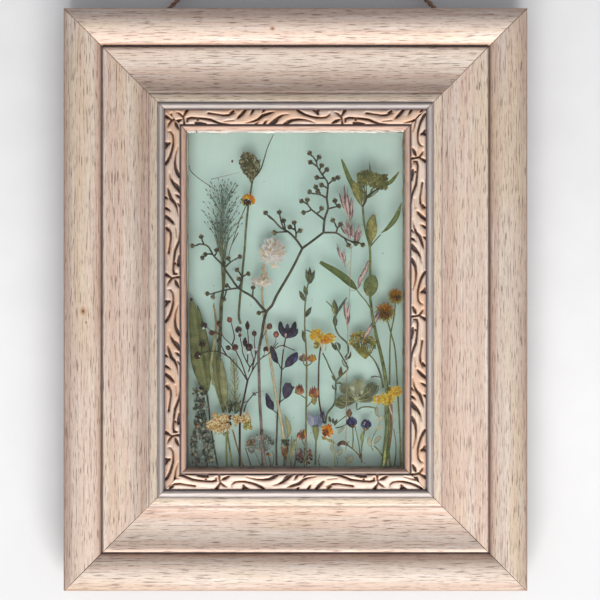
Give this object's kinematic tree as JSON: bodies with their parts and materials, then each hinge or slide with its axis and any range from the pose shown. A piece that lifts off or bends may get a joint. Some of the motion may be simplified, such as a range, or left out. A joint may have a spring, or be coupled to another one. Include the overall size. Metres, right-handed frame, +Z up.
{
  "type": "pressed flower frame",
  "caption": "Wide carved limed-wood frame holding pressed flowers, grasses and leaves cast in clear resin over a mint backing, hung by twine.",
  "frame": {"origin": "centre of the wall nail that holds the twine at its apex", "axes": "+Z up, the frame's front faces -Y, its back and the wall are at +Y, +X to the viewer's right"},
  "size_m": [0.1948, 0.0277, 0.3061],
  "materials": {
    "limed_wood": "limed, satin",
    "mint_board": "matt mint paint",
    "clear_resin": "clear gloss",
    "steel": "plain",
    "twine": "two-ply, waxed",
    "dark_stem": "dried",
    "berry": "dried",
    "olive_leaf": "dried leaf",
    "green_leaf": "dried leaf",
    "sage_leaf": "dried leaf",
    "straw": "dried grass",
    "orange_petal": "dried petal",
    "yellow_petal": "dried petal",
    "violet_petal": "dried petal",
    "brown_twig": "dried"
  },
  "bodies": {
    "root": {"rail_top": "limed_wood", "rail_bottom": "limed_wood", "rail_left": "limed_wood", "rail_right": "limed_wood", "backing_board": "mint_board", "resin_back": "clear_resin", "resin_front": "clear_resin", "point_top": "steel", "point_bottom": "steel", "point_left": "steel", "point_right": "steel", "eye_left": "steel", "eye_right": "steel", "twine": "twine", "knot_left": "twine", "knot_right": "twine", "spray_stem": "dark_stem", "spray_left_limb": "dark_stem", "spray_right_limb": "dark_stem", "spray_low_limb": "dark_stem", "berry_stem": "berry", "berry_left_limb": "berry", "berry_right_limb": "berry", "broad_leaf": "olive_leaf", "narrow_leaf": "olive_leaf", "herb_side_leaf": "olive_leaf", "herb_low_leaf": "olive_leaf", "cypress_sprig": "green_leaf", "heath_stem": "green_leaf", "curly_branch": "green_leaf", "herb_stem": "green_leaf", "herb_top": "green_leaf", "vetch_leaves": "green_leaf", "lance_leaf": "green_leaf", "plume_grass": "sage_leaf", "blade_leaf": "sage_leaf", "grey_umbel": "sage_leaf", "strawberry_leaf": "sage_leaf", "feather_sprig": "sage_leaf", "bunny_tail": "straw", "oat_grass": "straw", "button_flower": "orange_petal", "fuzzy_head_upper": "orange_petal", "fuzzy_head_lower": "orange_petal", "orange_flower": "orange_petal", "yarrow_left": "yellow_petal", "yarrow_right": "yellow_petal", "marigold": "yellow_petal", "yellow_umbel": "yellow_petal", "yellow_flower": "yellow_petal", "larkspur": "violet_petal", "violet_left": "violet_petal", "violet_right": "violet_petal", "blue_petals": "violet_petal", "thistle_bud": "brown_twig", "seed_cluster": "brown_twig", "pod": "brown_twig", "forked_twig": "brown_twig"}
  },
  "joints": []
}
